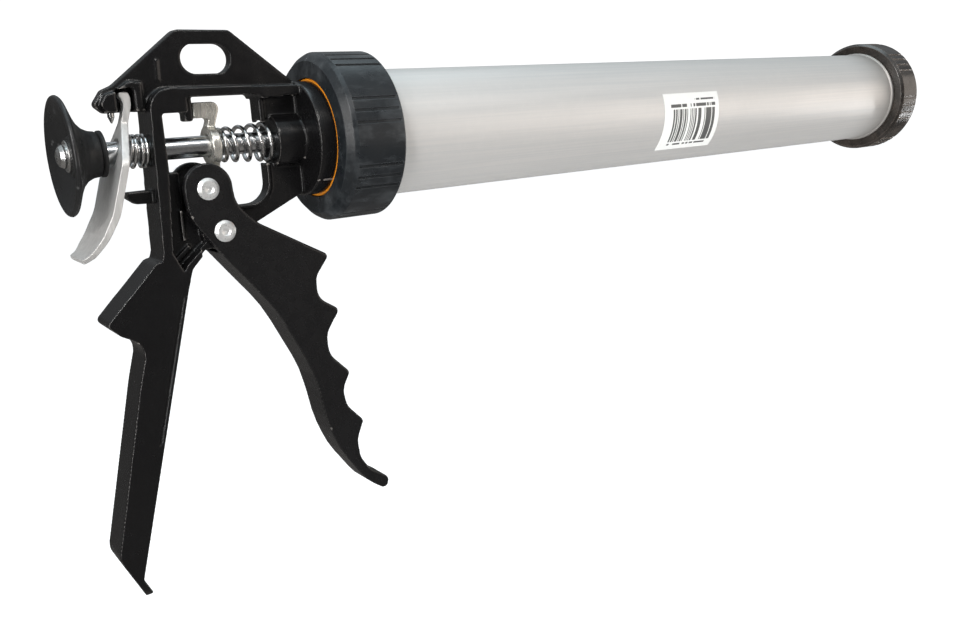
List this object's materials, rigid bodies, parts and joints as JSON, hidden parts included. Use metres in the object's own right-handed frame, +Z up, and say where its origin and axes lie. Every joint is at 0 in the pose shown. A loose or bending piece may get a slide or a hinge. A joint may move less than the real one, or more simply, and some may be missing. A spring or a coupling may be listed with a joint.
{
  "type": "jerky gun",
  "caption": "Hand-operated jerky gun with a lever trigger, push rod and bell knob, release plate, cast frame with hanging slot, and an aluminium barrel held by ring nuts.",
  "frame": {"origin": "centre of the nozzle hole at the front face of the front cap", "axes": "+X along the barrel out of the nozzle hole, +Z up from the handle to the hanging slot, +Y across the gun"},
  "size_m": [0.5057, 0.0672, 0.2112],
  "materials": {
    "cast_paint": "semi-gloss black paint on a casting",
    "collar_plastic": "satin charcoal plastic with scuffs",
    "cap_plastic": "glossy brown-black plastic",
    "orange_rubber": "smooth",
    "white_rubber": "smooth",
    "black_rubber": "smooth",
    "barrel_aluminium": "satin anodised, drawn lengthwise",
    "label_paper": "coated sticker",
    "rod_chrome": "bright",
    "bright_steel": "turned, bright",
    "rivet_steel": "bright, set heads",
    "spring_steel": "bright nickel",
    "zinc_plate": "zinc-plated, brushed",
    "drive_zinc": "zinc-plated",
    "knob_plastic": "satin black",
    "piston_plastic": "natural acetal"
  },
  "bodies": {
    "gun_frame": {"frame": "cast_paint", "collar_seal": "orange_rubber", "barrel_tube": "barrel_aluminium", "barrel_label": "label_paper", "plate_stop_pin": "bright_steel", "release_spring": "spring_steel", "drive_spring": "spring_steel"},
    "collar": {"collar_nut": "collar_plastic"},
    "cap_seal": {"nozzle_gasket": "white_rubber"},
    "cap": {"front_cap": "cap_plastic"},
    "rod": {"push_rod": "rod_chrome", "pull_knob": "knob_plastic", "knob_washer": "bright_steel", "knob_screw": "bright_steel", "rod_bumper": "black_rubber", "piston_disc": "piston_plastic", "piston_seal": "white_rubber", "piston_washers": "bright_steel", "piston_nut": "bright_steel"},
    "release": {"release_plate": "zinc_plate"},
    "drive": {"drive_plate": "drive_zinc"},
    "lever": {"trigger": "cast_paint", "pivot_rivet": "rivet_steel", "drive_rivet": "rivet_steel"},
    "roller": {"drive_roller": "bright_steel"}
  },
  "joints": [
    {"name": "rod_slide", "type": "slide", "parent": "gun_frame", "child": "rod", "axis": [1, 0, 0], "range_m": [-0.345, 0]},
    {"name": "trigger_squeeze", "type": "hinge", "parent": "gun_frame", "child": "lever", "pos_m": [-0.4513, 0, -0.0316], "axis": [0, 1, 0], "range_deg": [0, 22], "stiffness_Nm_per_rad": 0.6, "springref_deg": -8.59},
    {"name": "drive_slide", "type": "slide", "parent": "gun_frame", "child": "drive", "axis": [1, 0, 0], "range_m": [0, 0.0066], "deforming": ["drive_spring"]},
    {"name": "release_press", "type": "hinge", "parent": "gun_frame", "child": "release", "pos_m": [-0.4795, 0, 0.021], "axis": [0, 1, 0], "range_deg": [-5.5, 0], "stiffness_Nm_per_rad": 0.25, "springref_deg": 14.32, "deforming": ["release_spring"]},
    {"name": "roller_spin", "type": "hinge", "parent": "lever", "child": "roller", "pos_m": [-0.4559, 0, -0.0153], "axis": [0, 1, 0], "continuous": true},
    {"name": "collar_turn", "type": "hinge", "parent": "gun_frame", "child": "collar", "pos_m": [-0.3938, 0, 0], "axis": [1, 0, 0], "continuous": true},
    {"name": "cap_travel", "type": "slide", "parent": "gun_frame", "child": "cap_seal", "axis": [1, 0, 0], "range_m": [0, 0.0091]},
    {"name": "cap_turn", "type": "hinge", "parent": "cap_seal", "child": "cap", "pos_m": [0, 0, 0], "axis": [1, 0, 0], "range_deg": [0, 1080]}
  ],
  "couplings": [
    {"joint": "drive_slide", "follows": "trigger_squeeze", "m_per_rad": 0.01665},
    {"joint": "cap_travel", "follows": "cap_turn", "m_per_rad": 0.00047746}
  ]
}
